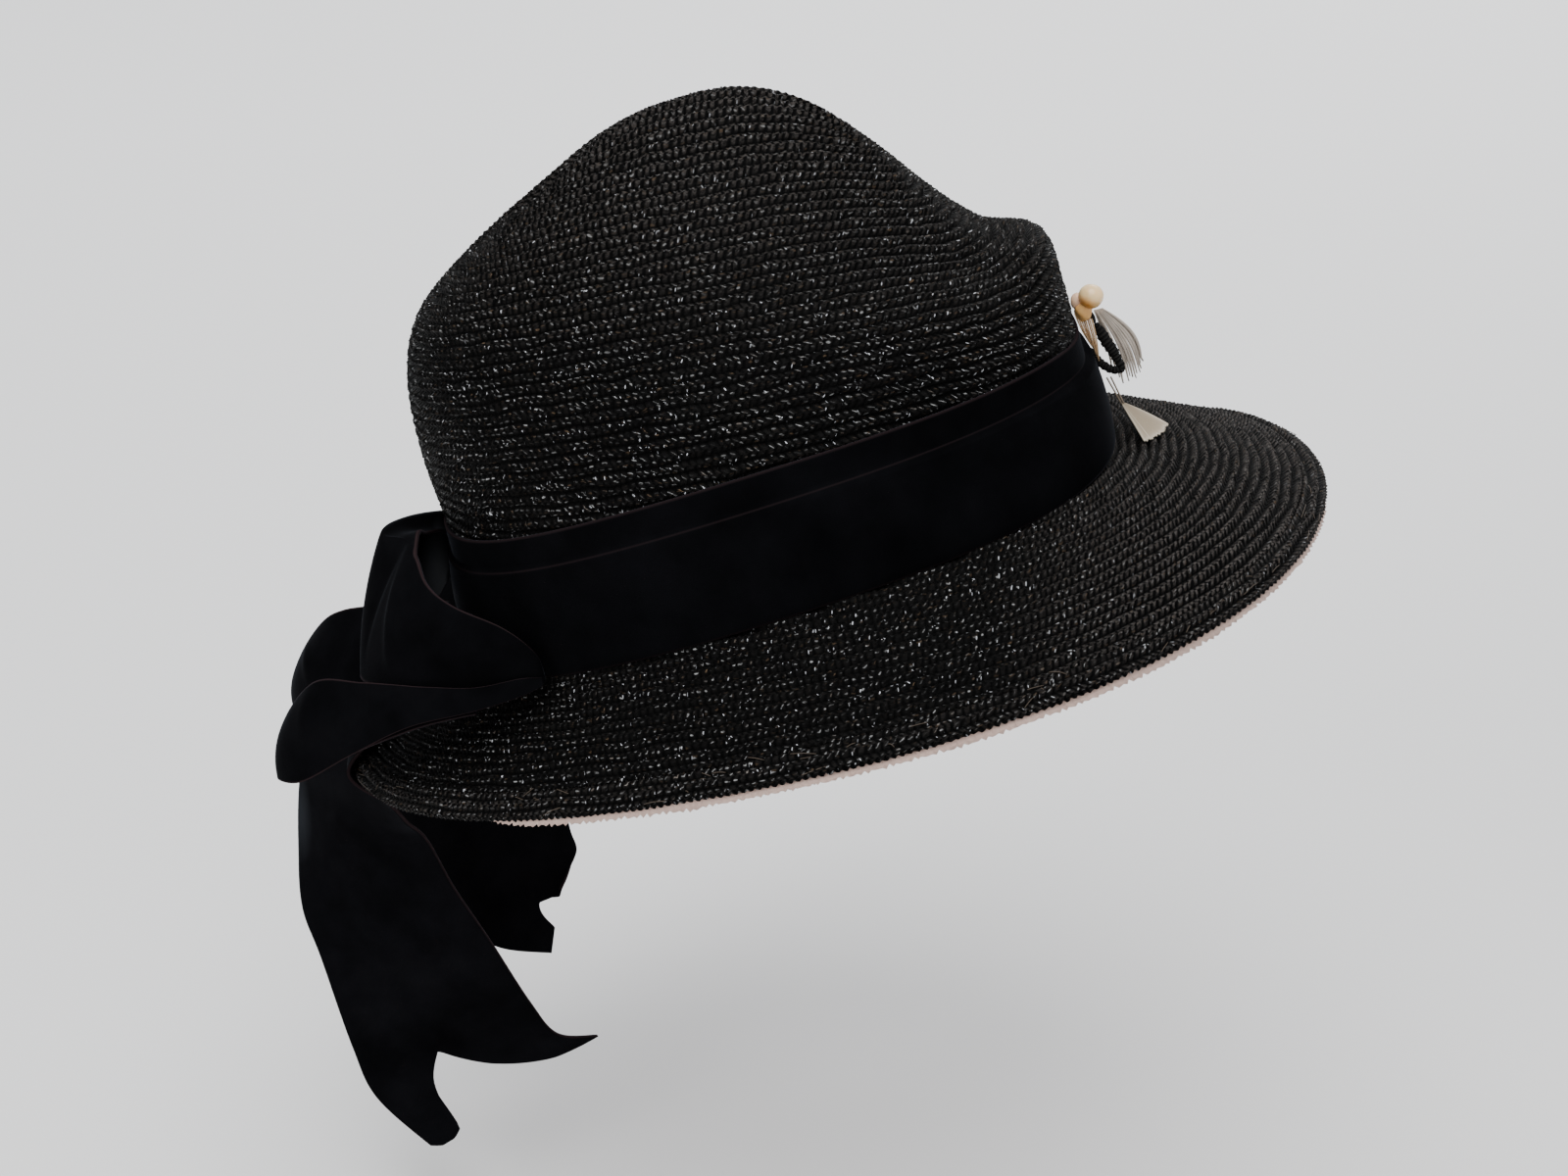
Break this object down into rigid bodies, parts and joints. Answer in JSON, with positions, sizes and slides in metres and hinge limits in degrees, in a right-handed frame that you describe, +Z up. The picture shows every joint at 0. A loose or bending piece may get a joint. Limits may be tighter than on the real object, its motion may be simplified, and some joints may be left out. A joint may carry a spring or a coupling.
{
  "type": "women's straw hat",
  "caption": "Tall dented straw crown on a sloping brim, with a pale facing, a wide velvet band, a side bow with hanging tails and a small feather trim.",
  "frame": {"origin": "centre of the head opening, where the wearer's head comes in; the hat is pitched 13.4 degrees back about X, as worn", "axes": "+Z up; -Y towards the wearer's front; -X towards the wearer's right, the side that carries the bow"},
  "size_m": [0.241, 0.3153, 0.3508],
  "materials": {
    "black_straw": "glossy sewn straw braid",
    "pale_straw": "matt pinkish cream straw braid",
    "black_velvet": "deep black velvet pile",
    "cream_bead": "translucent cream",
    "amber_bud": "soft amber",
    "grey_feather": "soft feather",
    "wrapped_wire": "thread wrapped"
  },
  "bodies": {
    "root": {"crown": "black_straw", "brim": "black_straw", "brim_edge": "black_straw", "brim_facing": "pale_straw", "hat_band": "black_velvet", "bow_loop_upper": "black_velvet", "bow_loop_rear": "black_velvet", "bow_loop_lower": "black_velvet", "tail_long": "black_velvet", "tail_short": "black_velvet", "trim_bead": "cream_bead", "trim_bud": "amber_bud", "trim_stamens": "amber_bud", "trim_wrapped_loop": "wrapped_wire", "feather_plume": "grey_feather", "feather_petal": "grey_feather"}
  },
  "joints": []
}
